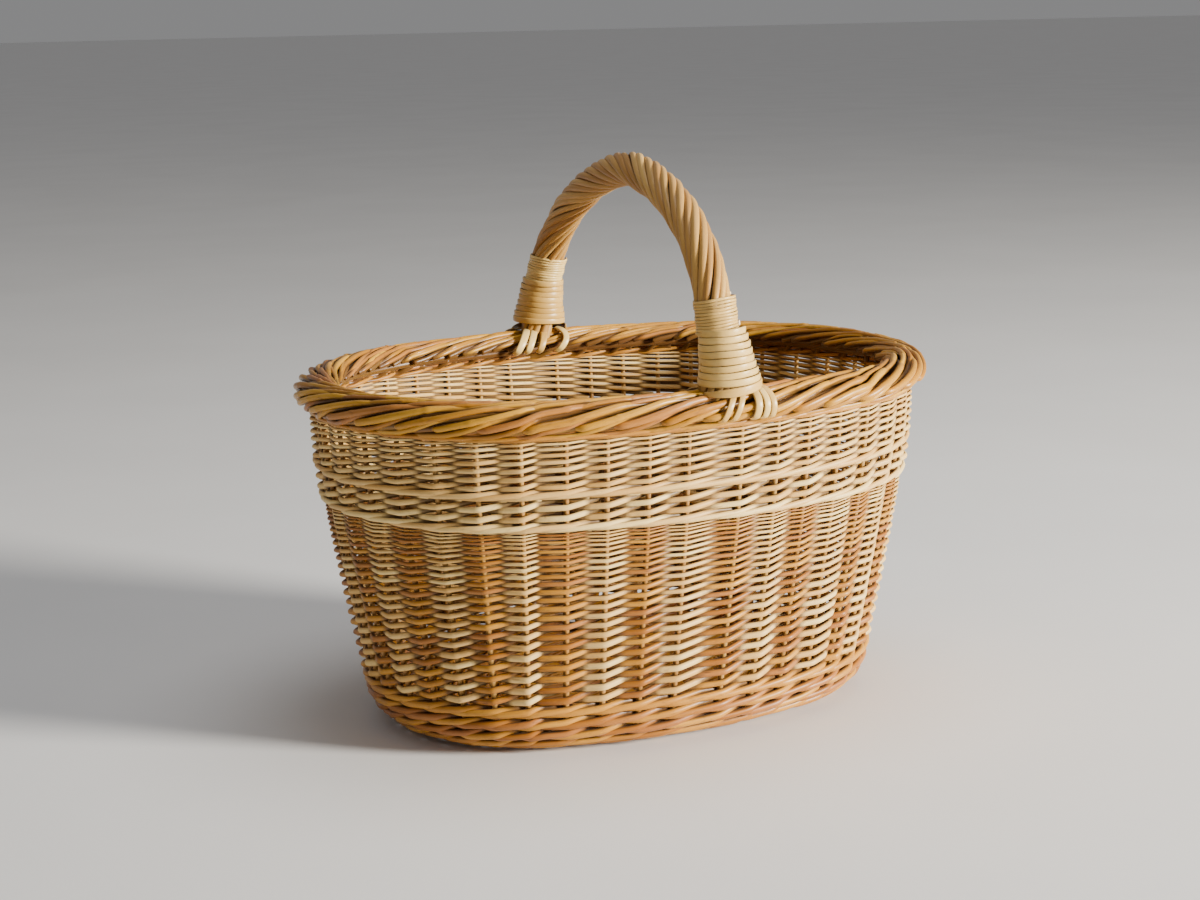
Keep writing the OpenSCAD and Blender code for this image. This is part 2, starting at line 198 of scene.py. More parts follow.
def makeRods(name, rods, sides, material, slot, *nodes):
    bm = bmesh.new()
    spots, grain, tonesAndShade = [], [], []
    for one in rods:
        mesh, ring, around = straightTube(len(one["path"]), sides)
        bm.from_mesh(mesh)
        heading = unit(np.gradient(one["path"], axis=0))
        outward = unit(one["facing"] - heading * np.sum(one["facing"] * heading, -1, keepdims=True))
        across = np.cross(heading, outward)
        cosA, sinA = np.cos(around)[:, None], np.sin(around)[:, None]
        cosA = np.sign(cosA) * np.abs(cosA) ** one["square"]
        sinA = np.sign(sinA) * np.abs(sinA) ** one["square"]
        r, flat = one["radius"][ring][:, None], one["flat"][ring][:, None]
        spots.append(one["path"][ring] + r * (cosA * outward[ring] * flat + sinA * across[ring]))
        length = np.concatenate([[0], np.cumsum(np.linalg.norm(np.diff(one["path"], axis=0), axis=1))])
        shift = one["tone"][2] * 7
        grain.append(np.hstack([length[ring][:, None] + shift, r * cosA + shift, r * sinA]))
        # painted shade with some dirt: the third value darkens the sides of each rod and the faces that lie
        # behind its neighbours, where shadow falls between the rods
        shown = np.cos(around) * one["side"][ring]
        creviceShade = np.clip(0.5 - 0.62 * shown + one["deep"][ring], 0, 1)
        tonesAndShade.append(np.column_stack([np.tile(one["tone"][:2], (len(ring), 1)), creviceShade]))
    mesh = bpy.data.meshes.new(name)
    bm.to_mesh(mesh)
    bm.free()
    mesh.vertices.foreach_set("co", np.vstack(spots).ravel())
    for label, values in (("rodGrain", grain), ("rodTone", tonesAndShade)):
        attribute = mesh.attributes.new(label, "FLOAT_VECTOR", "POINT")
        attribute.data.foreach_set("vector", np.vstack(values).ravel())
    corners = np.empty(len(mesh.polygons), int)
    mesh.polygons.foreach_get("loop_total", corners)
    mesh.polygons.foreach_set("use_smooth", corners < 5)
    mesh.update()
    turnOutward(mesh)
    piece = bpy.data.objects.new(name, mesh)
    bpy.context.collection.objects.link(piece)
    mesh.materials.append(material)
    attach(piece, "root")
    if nodes:
        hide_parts(*nodes)
    print(name, len(rods), "rods,", 2 * sum(len(o["path"]) for o in rods) * sides, "triangles")
    return piece


def turnOutward(mesh):
    bm = bmesh.new()
    bm.from_mesh(mesh)
    bmesh.ops.recalc_face_normals(bm, faces=bm.faces[:])
    bm.to_mesh(mesh)
    bm.free()


# ---- materials ----

class Wire:
    # a socket that takes part in sums
    def __init__(self, web, socket):
        self.web, self.socket = web, socket

    def work(self, operation, other, flipped=False):
        first, second = (other, self) if flipped else (self, other)
        return self.web.add("ShaderNodeMath", {"operation": operation}, {0: first, 1: second})

    def __add__(self, other):
        return self.work("ADD", other)

    def __radd__(self, other):
        return self.work("ADD", other, True)

    def __sub__(self, other):
        return self.work("SUBTRACT", other)

    def __rsub__(self, other):
        return self.work("SUBTRACT", other, True)

    def __mul__(self, other):
        return self.work("MULTIPLY", other)

    def __rmul__(self, other):
        return self.work("MULTIPLY", other, True)

    def part(self, axis):
        return self.web.add("ShaderNodeSeparateXYZ", {}, {0: self}, axis)


class Web:
    def __init__(self, name):
        self.material = bpy.data.materials.new(name)
        self.material.use_nodes = True
        self.tree = self.material.node_tree
        self.shader = self.tree.nodes["Principled BSDF"]

    def add(self, kind, settings, sockets, out=0):
        node = self.tree.nodes.new(kind)
        for key, value in settings.items():
            if key == "stops":
                ramp = node.color_ramp
                while len(ramp.elements) < len(value):
                    ramp.elements.new(0.5)
                for stop, (at, shade) in zip(ramp.elements, value):
                    stop.position, stop.color = at, (shade, shade, shade, 1)
            else:
                setattr(node, key, value)
        for key, value in sockets.items():
            self.fill(node.inputs[key], value)
        return Wire(self, node.outputs[out])

    def fill(self, socket, value):
        if isinstance(value, Wire):
            self.tree.links.new(value.socket, socket)
        else:
            socket.default_value = value

    def blend(self, share, first, second, how="MIX"):
        settings = {"data_type": "RGBA", "blend_type": how, "clamp_factor": True}
        return self.add("ShaderNodeMix", settings, {0: share, 6: first, 7: second}, 2)

    def stretch(self, vector, amounts):
        return self.add("ShaderNodeVectorMath", {"operation": "MULTIPLY"}, {0: vector, 1: amounts})

    def noise(self, vector, detail=3, roughness=0.5):
        return self.add("ShaderNodeTexNoise", {}, {"Vector": vector, "Scale": 1, "Detail": detail,
                                                   "Roughness": roughness})

    def ramp(self, value, *stops):
        return self.add("ShaderNodeValToRGB", {"stops": stops}, {0: value})

    def finish(self, **sockets):
        for key, value in sockets.items():
            self.fill(self.shader.inputs[key.replace("_", " ")], value)
        return self.material


def rgb(r, g, b):
    return (r, g, b, 1)


# painted shade in the hollows between rods, with some dirt: the dark colour and how strongly it is mixed in
shadeAndDirt = {"share": 0.85, "colour": rgb(0.10, 0.045, 0.014)}


def willow(name, look):
    web = Web(name)
    grain = web.add("ShaderNodeAttribute", {"attribute_name": "rodGrain"}, {}, 1)
    tone = web.add("ShaderNodeAttribute", {"attribute_name": "rodTone"}, {}, 1)
    toneA, toneB, creviceShade = tone.part(0), tone.part(1), tone.part(2)
    slow = web.noise(web.stretch(grain, (14, 120, 120)), 3, 0.6)          # colour wanders along the rod
    fibre = web.noise(web.stretch(grain, (55, 1500, 1500)), 4, 0.6)       # fine fibres along it
    bark = web.noise(web.stretch(grain, (160, 420, 420)), 5, 0.65)        # small stains
    shade = web.ramp(toneA * 0.62 + slow * 0.75 - 0.18, (0.22, 0), (0.78, 1))
    colour = web.blend(shade, look["light"], look["deep"])
    oddOne = web.ramp(toneB, (1 - look["oddShare"] - 0.03, 0), (1 - look["oddShare"] + 0.03, 1))
    colour = web.blend(oddOne * (0.55 + 0.4 * slow), colour, look["odd"])
    colour = web.blend(web.ramp(fibre, (0.38, 0), (0.7, 1)) * look["fibre"], colour, look["deep"])
    colour = web.blend(web.ramp(bark, (0.56, 0), (0.72, 1)) * look["stain"], colour, look["stainColour"])
    scar = web.add("ShaderNodeTexVoronoi", {"feature": "F1"},
                   {"Vector": web.stretch(grain, (38, 210, 210)), "Scale": 1, "Randomness": 1})
    scar = web.ramp(scar, (0.07, 1), (0.15, 0)) * (toneB * 0.6 + 0.4)      # bud scars
    colour = web.blend(scar * look["scar"], colour, look["stainColour"])
    shadeAndDirtMask = web.ramp(creviceShade + (bark - 0.5) * 0.3, (0.24, 0), (0.62, 1))    # painted shade between the rods, with some dirt
    colour = web.blend(shadeAndDirtMask * shadeAndDirt["share"], colour, shadeAndDirt["colour"])
    rough = look["rough"] + (fibre - 0.5) * 0.18 + (bark - 0.5) * 0.12
    height = fibre * 0.5 + bark * 0.35 - scar * 0.3 + slow * 0.3
    bump = web.add("ShaderNodeBump", {}, {"Height": height, "Strength": look["bump"], "Distance": 0.0006})
    web.shader.inputs["Coat Roughness"].default_value = look["coatRough"]
    web.shader.inputs["Specular IOR Level"].default_value = 0.35
    web.shader.inputs["Sheen Weight"].default_value = look["sheen"]
    web.shader.inputs["Sheen Roughness"].default_value = 0.4
    return web.finish(Base_Color=colour, Roughness=rough, Normal=bump, Coat_Weight=look["coat"])


whiteWillow = willow("whiteWillow", {
    "light": rgb(0.96, 0.71, 0.28), "deep": rgb(0.72, 0.41, 0.11),
    "odd": rgb(0.80, 0.51, 0.18), "oddShare": 0.12,
    "fibre": 0.30, "stain": 0.35, "stainColour": rgb(0.36, 0.19, 0.075), "scar": 0.6,
    "rough": 0.48, "bump": 0.35, "coat": 0.06, "coatRough": 0.35, "sheen": 0.03})
buffWillow = willow("buffWillow", {
    "light": rgb(0.66, 0.31, 0.030), "deep": rgb(0.35, 0.120, 0.011),
    "odd": rgb(0.38, 0.135, 0.035), "oddShare": 0.2,
    "fibre": 0.35, "stain": 0.45, "stainColour": rgb(0.13, 0.05, 0.02), "scar": 0.7,
    "rough": 0.42, "bump": 0.4, "coat": 0.10, "coatRough": 0.3, "sheen": 0.05})
stakeWillow = willow("stakeWillow", {
    "light": rgb(0.80, 0.48, 0.12), "deep": rgb(0.56, 0.26, 0.05),
    "odd": rgb(0.6, 0.3, 0.08), "oddShare": 0.2,
    "fibre": 0.3, "stain": 0.3, "stainColour": rgb(0.16, 0.06, 0.02), "scar": 0.5,
    "rough": 0.45, "bump": 0.4, "coat": 0.1, "coatRough": 0.3, "sheen": 0.05})
borderWillow = willow("borderWillow", {
    "light": rgb(0.68, 0.345, 0.020), "deep": rgb(0.41, 0.162, 0.008),
    "odd": rgb(0.42, 0.15, 0.035), "oddShare": 0.18,
    "fibre": 0.3, "stain": 0.5, "stainColour": rgb(0.15, 0.055, 0.02), "scar": 0.8,
    "rough": 0.36, "bump": 0.45, "coat": 0.12, "coatRough": 0.22, "sheen": 0.03})
handleWillow = willow("handleWillow", {
    "light": rgb(0.68, 0.41, 0.105), "deep": rgb(0.42, 0.20, 0.040),
    "odd": rgb(0.54, 0.30, 0.07), "oddShare": 0.2,
    "fibre": 0.4, "stain": 0.3, "stainColour": rgb(0.27, 0.13, 0.05), "scar": 0.5,
    "rough": 0.45, "bump": 0.45, "coat": 0.12, "coatRough": 0.35, "sheen": 0.06})
skeinWillow = willow("skeinWillow", {
    "light": rgb(0.90, 0.64, 0.21), "deep": rgb(0.64, 0.365, 0.075),
    "odd": rgb(0.72, 0.455, 0.13), "oddShare": 0.15,
    "fibre": 0.4, "stain": 0.25, "stainColour": rgb(0.33, 0.17, 0.07), "scar": 0.3,
    "rough": 0.34, "bump": 0.4, "coat": 0.3, "coatRough": 0.3, "sheen": 0.08})
print("materials made")

# ---- weave of the wall ----


def eased(x, xs, ys, soft):
    # straight steps with their corners rounded over the distance soft
    return np.mean([np.interp(x + d, xs, ys) for d in np.linspace(-soft, soft, 9)], axis=0)


def stakeSteps(first, last):
    # sample places along a rod, closest together where it bends round a stake
    inSpace = np.array([0, 0.07, 0.17, 0.34, 0.5, 0.66, 0.83, 0.93])
    steps = (np.arange(math.floor(first), math.ceil(last) + 1)[:, None] + inSpace).ravel()
    return np.concatenate([[first], steps[(steps > first + 0.03) & (steps < last - 0.03)], [last]])


def overUnder(strokes, sharp=0.992):
    # +1 in front of every even stroke, -1 behind every odd one, nearly straight between
    return np.arcsin(sharp * np.cos(math.pi * strokes)) / math.asin(sharp)


def taperedRows(zLow, zHigh, rows, thin, power):
    # the height at any row, with rows that get thinner as they rise
    def heightAt(row):
        u = np.clip(np.asarray(row, float) / rows, -0.2, 1.1)
        swept = np.sign(u) * np.abs(u) ** (power + 1) / (power + 1)
        return zLow + (zHigh - zLow) * (u - thin * swept) / (1 - thin / (power + 1))
    return heightAt


def randing(zone, starts):
    # every rod starts in its own space and climbs one row at each stroke
    rows = taperedRows(zone["low"], zone["high"], zone["rows"], zone["thin"], zone["power"])
    made = []
    for start in starts:
        strokes = stakeSteps(-1.0 + random.uniform(0, 0.25), zone["rows"] - 0.45 + random.uniform(0, 0.3))
        z = rows(strokes + zone["shift"])
        half = (rows(strokes + 1) - rows(strokes)) / 2
        uneven = 1 + 0.05 * np.sin(strokes * 0.9 + start * 2.3)
        radius = half * zone["plump"] * uneven * random.uniform(0.95, 1.05)
        swing = overUnder(strokes)
        path, facing = wallPath(start + strokes, wallLength(z), swing * (zone["stake"] + radius * 0.95))
        made.append(rod(path, radius, facing, 0.95, side=np.clip(swing * 2.2, -1, 1)))
    return made


def wale(along, radius, phase, stake):
    # three rods, each in front of two stakes and behind the third
    made = []
    for s in range(3):
        k = stakeSteps(-0.55, stakeCount + 0.45) + phase + s
        step = np.mod(k - phase - s + 1, 3)                      # 1 and 2 in front, 0 and 3 behind
        push = eased(step, [-1, 0, 1, 2, 3, 4], [1, -1, 1, 1, -1, 1], 0.16)
        rise = eased(step, [-0.5, 0, 0.45, 2.55, 3, 3.5], [1, 0, -1, 1, 0, -1], 0.15)
        tuck = np.clip(1.2 - (k - k[0]), 0, 1) + np.clip(1.2 - (k[-1] - k), 0, 1)
        width = radius * (1 + 0.06 * np.sin(k * 0.31 + s * 2 + phase))
        outward = push * (stake + width * 0.82) - tuck * 0.5 * mm
        path, facing = wallPath(k, along + rise * radius * 1.08, outward)
        made.append(rod(path, width, facing, side=np.clip(push * 1.5, -1, 1)))
    return made


footWale = {"from": 6.6 * mm, "step": 8.75 * mm, "rounds": 5, "radius": 2.45 * mm}
footRods = []
for lap in range(footWale["rounds"]):
    footRods += wale(footWale["from"] + lap * footWale["step"], footWale["radius"], lap, stakeR)
makeRods("footWaleRods", footRods, 10, buffWillow, "buff_willow", "foot_wale_1", "foot_wale_2",
         "foot_wale_3", "foot_wale_4", "foot_wale_5", "foot_wale_inside")

stripes = {"low": 40.9 * mm, "high": 161.9 * mm, "rows": 44, "thin": 0.80, "power": 1.4, "plump": 1.14,
           "stake": stakeR, "shift": 0.5}
makeRods("stripeWhiteRods", randing(stripes, range(1, stakeCount, 2)), 10, whiteWillow, "white_willow",
         "stripe_white")
makeRods("stripeBuffRods", randing(stripes, range(0, stakeCount, 2)), 10, buffWillow, "buff_willow",
         "stripe_buff")

waleWhite = {"radius": 1.95 * mm, "low": 165.8 * mm, "high": 188.2 * mm}
makeRods("lowWaleRods", wale(wallLength(waleWhite["low"]), waleWhite["radius"], 1, stakeR), 10, whiteWillow,
         "white_willow", "low_wale")
makeRods("highWaleRods", wale(wallLength(waleWhite["high"]), waleWhite["radius"], 0, stakeR), 10, whiteWillow,
         "white_willow", "high_wale")

plain = {"low": 169.9 * mm, "high": 184.1 * mm, "rows": 4, "thin": 0.0, "power": 1, "plump": 1.14,
         "stake": stakeR, "shift": 0.8}
makeRods("plainRods", randing(plain, range(stakeCount)), 10, whiteWillow, "white_willow",
         "plain_odd", "plain_even")

top = {"low": 192.3 * mm, "high": 223.8 * mm, "rows": 14, "thin": 0.62, "power": 1.5, "plump": 1.14,
       "stake": stakeR, "shift": 0.5}
makeRods("topRods", randing(top, range(stakeCount)), 10, whiteWillow, "white_willow", "top_odd", "top_even")

rimWale = {"radius": 1.5 * mm, "low": 225.6 * mm, "high": 229.4 * mm}
makeRods("rimWaleRods", wale(wallLength(rimWale["low"]), rimWale["radius"], 0, stakeR)
         + wale(wallLength(rimWale["high"]), rimWale["radius"], 2, stakeR), 8, buffWillow, "buff_willow",
         "rim_wale_1", "rim_wale_2")


def sideStake(k):
    along = np.concatenate([np.linspace(-18 * mm, 0, 4)[:-1], np.linspace(0, wallLength(wallH - 5 * mm), 60)])
    path, facing = wallPath(np.full(len(along), float(k)), np.maximum(along, 0), 0)
    inside = np.minimum(along, 0)[:, None]
    theta = float(turnOf(k))
    path = path + inside * np.array([math.cos(theta), math.sin(theta), 0])
    radius = np.interp(along, [0, 0.05, 0.24], [1.0, 1.0, 0.82]) * stakeR
    return rod(path, radius, facing, side=0, deep=-0.12)


makeRods("stakeRods", [sideStake(k) for k in range(stakeCount)], 8, stakeWillow, "buff_willow",
         "stakes_odd", "stakes_even")

# ---- base: sticks with two rods twined round them ----

base = {"spokes": 21, "step": 5.0 * mm, "rodRadius": 1.95 * mm, "stickRadius": 3.45 * mm, "first": -79 * mm,
        "last": 3.2 * mm, "height": 7.6 * mm}


def baseSpoke(j):
    # a stick that runs out square to the oval
    theta = float(turnOf(0.5 + 2 * j))
    out = np.linspace(-90 * mm if abs(math.cos(theta)) > 0.9 else -84 * mm, -7 * mm, 14)
    x, y = ovalPoint(np.full(14, theta), out)
    path = np.stack([x, y, np.full(14, base["height"])], -1)
    radius = base["stickRadius"] * np.interp(out, [-0.09, -0.02, -0.007], [1, 0.95, 0.6])
    return rod(path, radius, np.tile([0, 0, 1.0], (14, 1)), side=0, deep=-0.1)


spine = {"radius": 3.5 * mm, "gap": 6.8 * mm, "halfLength": 82 * mm}


def spineStick(j):
    x = np.linspace(-spine["halfLength"], spine["halfLength"], 12) * (1 - 0.05 * abs(j))
    path = np.stack([x, np.full(12, j * spine["gap"]), np.full(12, base["height"])], -1)
    return rod(path, spine["radius"], np.tile([0, 0, 1.0], (12, 1)), side=0, deep=-0.3)


makeRods("crossStickRods", [baseSpoke(j) for j in range(base["spokes"])], 10, buffWillow, "buff_willow",
         "cross_sticks")
makeRods("spineRods", [spineStick(j) for j in range(-2, 3)], 10, buffWillow, "buff_willow",
         "long_sticks")


def twinedRod(side):
    laps = (base["last"] - base["first"]) / base["step"]
    k = np.arange(0, laps * base["spokes"], 1 / 6)
    out = base["first"] + base["step"] * k / base["spokes"]
    theta = turnOf(0.5 + 2 * k)
    x, y = ovalPoint(theta, out + side * overUnder(k + 0.5, 0.8) * 0.5 * mm)
    lift = side * np.cos(math.pi * k) * (base["stickRadius"] + base["rodRadius"] * 1.1)
    shown = np.clip(lift / (2 * mm), -1, 1)
    return np.stack([x, y, base["height"] + lift], -1), shown


def twinedBase():
    made = []
    for side in (1, -1):
        path, shown = twinedRod(side)
        cuts = list(range(0, len(path), 6 * 30 + 1)) + [len(path)]
        for a, b in zip(cuts[:-1], cuts[1:]):
            if b - a > 12:
                part = slice(a, min(b + 3, len(path)))
                width = base["rodRadius"] * random.uniform(0.93, 1.07)
                upward = np.tile([0, 0, 1.0], (len(path[part]), 1))
                made.append(rod(path[part], width, upward, side=shown[part]))
    return made


makeRods("baseWeaveRods", twinedBase(), 8, buffWillow, "buff_willow", "base_under", "base_over")
print("weave done")

# ---- rolled border ----

border = {"width": 14.8 * mm, "height": 10.6 * mm, "radius": 2.35 * mm, "follow": 2.0 * mm}


def rollPoint(k, angle, shrink=0.0):
    theta = turnOf(k)
    wide, high = border["width"] - shrink, border["height"] - shrink
    x, y = ovalPoint(theta, rimOut + wide * np.cos(angle))
    facing = np.stack([np.cos(theta) * np.cos(angle), np.sin(theta) * np.cos(angle), np.sin(angle)], -1)
    return np.stack([x, y, wallH + high * np.sin(angle)], -1), facing


def rolledRod(k, route, radius, soft=0.045, samples=96):
    # route: how far along in stake spaces, the angle round the roll, how deep under its surface in mm
    along, angle, depth = zip(*route)
    t = np.linspace(along[0], along[-1], samples)
    wander = random.uniform(-5, 5) + random.uniform(0.5, 2.2) * np.sin(t * 1.7 + k * 2.1)
    knots = sum(0.16 * np.exp(-((t - random.uniform(0.5, 6)) / 0.05) ** 2) for _ in range(3))
    around = eased(t, along, angle, soft) + wander * np.clip(t * 2, 0, 1)
    below = eased(t, along, depth, soft) + 0.25 * np.sin(t * 2.3 + k * 1.3)
    path, facing = rollPoint(k + t + random.uniform(-0.07, 0.07), np.radians(around), below * mm)
    thick = radius * random.uniform(0.85, 1.12) * (1.05 - 0.045 * t + 0.04 * np.sin(t * 3 + k) + knots)
    # rods lying deeper under the roll get more painted shade
    return rod(path, thick, facing, deep=0.06 + below * 0.2)


coreRods = []
for j in range(5):
    k = np.linspace(0, stakeCount, 260)
    angle = 2 * math.pi * j / 5 + k * 0.35
    theta = turnOf(k)
    x, y = ovalPoint(theta, rimOut + 5.6 * mm * np.cos(angle))
    path = np.stack([x, y, wallH + 3.6 * mm * np.sin(angle)], -1)
    coreRods.append(rod(path, 3.0 * mm, np.stack([np.cos(theta), np.sin(theta), 0 * theta], -1)))
makeRods("borderCoreRods", coreRods, 8, borderWillow, "border_willow", "border_core")

# a stake bends out under the roll, turns sharply along it and climbs over to the inside
overRoute = ((-0.2, -44, 10), (-0.06, -31, 5), (0.05, -23, 0.3), (0.18, -18, -0.4), (1.1, 15, -0.5),
             (2.0, 48, -0.2), (2.3, 58, 1.0), (2.7, 70, 2.6), (3.2, 81, 1.6), (3.5, 88, 0.2), (4.4, 108, 0.0),
             (5.0, 120, 1.6), (5.6, 139, 1.2), (6.3, 162, 1.4), (6.6, 176, 4.5))
# a thinner rod runs along the lower edge, climbs beside it, dives under and shows again on top
followRoute = ((-0.1, -104, 7), (0.15, -80, 0.8), (0.5, -66, 0.1), (1.05, -56, 0), (1.55, -30, 0),
               (2.05, 0, 0.6), (2.4, 18, 2.8), (2.8, 40, 3.0), (3.15, 56, 0.9), (3.5, 65, 0.0),
               (4.3, 84, 0.0), (4.8, 99, 1.5), (5.3, 118, 0.8), (5.9, 138, 0.5), (6.6, 165, 5))
# a rod below both fills the roll
fillRoute = ((0, -84, 4.2), (0.8, -52, 2.6), (1.6, -24, 2.8), (3, 28, 3.9), (4.5, 88, 4.0), (6, 150, 4.2),
             (6.5, 185, 5.0))
overRods = [rolledRod(k + 0.2, overRoute, border["radius"]) for k in range(stakeCount)]
followRods = [rolledRod(k + 0.2, followRoute, border["follow"]) for k in range(stakeCount)]
fillRods = [rolledRod(k + 0.7, fillRoute, 2.5 * mm) for k in range(stakeCount)]
makeRods("borderOddRods", overRods[1::2] + fillRods[1::2], 12, borderWillow, "border_willow",
         "border_rods_odd")
makeRods("borderEvenRods", overRods[0::2] + fillRods[0::2], 12, borderWillow, "border_willow",
         "border_rods_even")
makeRods("borderFollowRods", followRods, 10, borderWillow, "border_willow", "border_follow")
print("border done")

# ---- bow handle ----

bow = {"foot": 215 * mm, "top": 380 * mm, "half": halfB + rimOut, "lean": 0.09, "coreRadius": 7.4 * mm,
       "strands": 12, "strandRadius": 2.62 * mm, "roping": 9.7 * mm}


def bowPoint(u):
    t = np.radians(90 * (1 - np.abs(2 * u - 1)) ** 1.45)
    z = (bow["top"] - bow["foot"]) * np.sin(t) ** 0.622
    y = np.where(u < 0.5, -1, 1) * bow["half"] * np.cos(t) ** 1.282
    return np.stack([z * bow["lean"], y, bow["foot"] + z], -1)


def bowLine(samples):
    # even steps along the bow, from inside the border at the front to the same at the back
    u = np.linspace(0.045, 0.955, 1500)
    path = bowPoint(u)
    length = np.concatenate([[0], np.cumsum(np.linalg.norm(np.diff(path, axis=0), axis=1))])
    steps = np.linspace(0, length[-1], samples)
    path = np.stack([np.interp(steps, length, path[:, i]) for i in range(3)], -1)
    heading = unit(np.gradient(path, axis=0))
    flat = np.array([1, 0, -bow["lean"]]) / math.hypot(1, bow["lean"])
    up = np.cross(np.tile(flat, (samples, 1)), heading)
    return path, steps, np.tile(flat, (samples, 1)), unit(up)


bowPath, bowLength, bowFlat, bowOut = bowLine(170)
middle = bowLength[-1] / 2
layAngle = np.radians(np.interp(np.abs(bowLength - middle), [0, 0.10, 0.17, middle], [22, 20, 15.5, 13]))
twistRate = np.tan((layAngle[1:] + layAngle[:-1]) / 2) / bow["roping"]
twist = np.concatenate([[0], np.cumsum(twistRate * np.diff(bowLength))])
strandRods = []
for s in range(bow["strands"]):
    wander = 0.05 * np.sin(bowLength * 14 + s * 2.4) + 0.02 * np.sin(bowLength * 37 + s)
    angle = 2 * math.pi * s / bow["strands"] - twist + wander
    facing = np.cos(angle)[:, None] * bowFlat + np.sin(angle)[:, None] * bowOut
    reach = bow["roping"] + 0.3 * mm * np.sin(bowLength * 17 + s * 1.9)
    width = bow["strandRadius"] * (1 + 0.07 * np.sin(bowLength * 9 + s * 1.3)) * random.uniform(0.92, 1.08)
    strandRods.append(rod(bowPath + facing * reach[:, None], width, facing, 0.9))
makeRods("ropingOddRods", strandRods[1::2], 12, handleWillow, "handle_willow", "rope_rods_odd")
makeRods("ropingEvenRods", strandRods[0::2], 12, handleWillow, "handle_willow", "rope_rods_even")
makeRods("bowRods", [rod(bowPath, bow["coreRadius"], bowFlat)], 12, handleWillow, "handle_willow", "bow_rod")

# ---- bindings and tails at the feet of the bow ----

binding = {"low": 251.2 * mm, "lowTurns": 8, "lowStep": 4.3 * mm, "highTurns": 10, "highStep": 1.92 * mm}
bindTop = binding["low"] + binding["lowTurns"] * binding["lowStep"]


def legPoint(z, side):
    lift = np.clip((z - bow["foot"]) / (bow["top"] - bow["foot"]), 0, 1)
    t = np.arcsin(lift ** (1 / 0.622))
    y = side * bow["half"] * np.cos(t) ** 1.282
    return np.stack([(z - bow["foot"]) * bow["lean"], y, z + 0 * lift], -1)


def woundSkein(side, zLow, turns, step, halfWide, halfThick, section, tilt):
    # one long skein wound round the leg; section gives its half widths and shift at each height
    angle = np.arange(0, turns * 2 * math.pi, 2 * math.pi / 44)
    z = zLow + step * (angle / (2 * math.pi)) + 0.5 * step
    wideX, wideY, shiftX, shiftY = section(z)
    outX, outY = wideX * np.cos(angle), wideY * np.sin(angle)
    radial = np.stack([np.cos(angle), side * np.sin(angle), 0 * angle], -1)
    # turns lie square to the leg, which slopes inward as it rises
    rise = outY * tilt[1] * (z - 246 * mm) / (40 * mm) + outX * tilt[0]
    path = legPoint(z, side) + np.stack([shiftX + outX, side * (shiftY + outY), rise], -1)
    lap = angle / (2 * math.pi)
    path[:, 2] += 0.16 * mm * np.sin(lap * 5.3 + angle * 2)
    path += radial * (0.25 * mm * np.sin(lap * 7.7 + angle))[:, None]
    return rod(path, halfWide * (1 + 0.05 * np.sin(angle * 0.71)), radial, halfThick / halfWide, 0.55)


def lowSection(side):
    swell = {-1: (2.6, 5.2, 1.9, 0.8), 1: (0.6, 1.8, 1.0, 1.8)}[side]

    def section(z):
        t = np.clip((bindTop - z) / (34 * mm), 0, 1)
        return ((14.8 + 5.4 * t ** 1.2) * mm, (15.2 + 3.2 * t ** 1.4) * mm, (swell[0] + swell[1] * t) * mm,
                (swell[2] + swell[3] * t) * mm)
    return section


def highSection(z):
    return (13.2 * mm + 0 * z, 13.2 * mm + 0 * z, 0.5 * mm + 0 * z, 0.3 * mm + 0 * z)


def tailStrip(side, xStart, xEnd, start, end, halfWide, bulge):
    # a flat strip from under the binding, over the border, tucked below its edge
    t = np.linspace(0, 1, 30)
    angle = np.radians(start + (end - start) * t)
    lift = (3.3 + 0.5 * np.sin(t * math.pi)) * mm - np.clip((t - 0.86) / 0.14, 0, 1) * 2.5 * mm
    x = (xStart + (xEnd - xStart) * t ** 1.25 + bulge * np.sin(math.pi * t)) * mm
    y = side * (halfB + rimOut + (border["width"] + lift) * np.cos(angle))
    z = wallH + (border["height"] + lift) * np.sin(angle)
    facing = np.stack([0 * angle, side * np.cos(angle), np.sin(angle)], -1)
    width = halfWide * np.interp(t, [0, 0.2, 0.8, 1], [0.85, 1, 0.97, 0.75])
    return rod(np.stack([x, y, z], -1), width, facing, 0.42, 0.6)


def lastWrap(side):
    # the end of the skein, slanting down across the foot and tucked into the border
    t = np.linspace(0, 1, 40)
    angle = np.radians(-25 + 190 * t)
    wideX, wideY, shiftX, shiftY = lowSection(side)(binding["low"] + 0 * t)
    z = binding["low"] + 0.2 * mm - 4.5 * mm * t ** 1.5
    path = legPoint(z, side) + np.stack([shiftX + (wideX + 0.7 * mm) * np.cos(angle),
                                         side * (shiftY + (wideY + 0.7 * mm) * np.sin(angle)),
                                         -0.11 * side * wideX * np.cos(angle) * (1 - t)], -1)
    radial = np.stack([np.cos(angle), side * np.sin(angle), 0 * angle], -1)
    return rod(path, 3.0 * mm * np.interp(t, [0, 0.7, 1], [0.8, 1, 0.5]), radial, 0.3, 0.6)


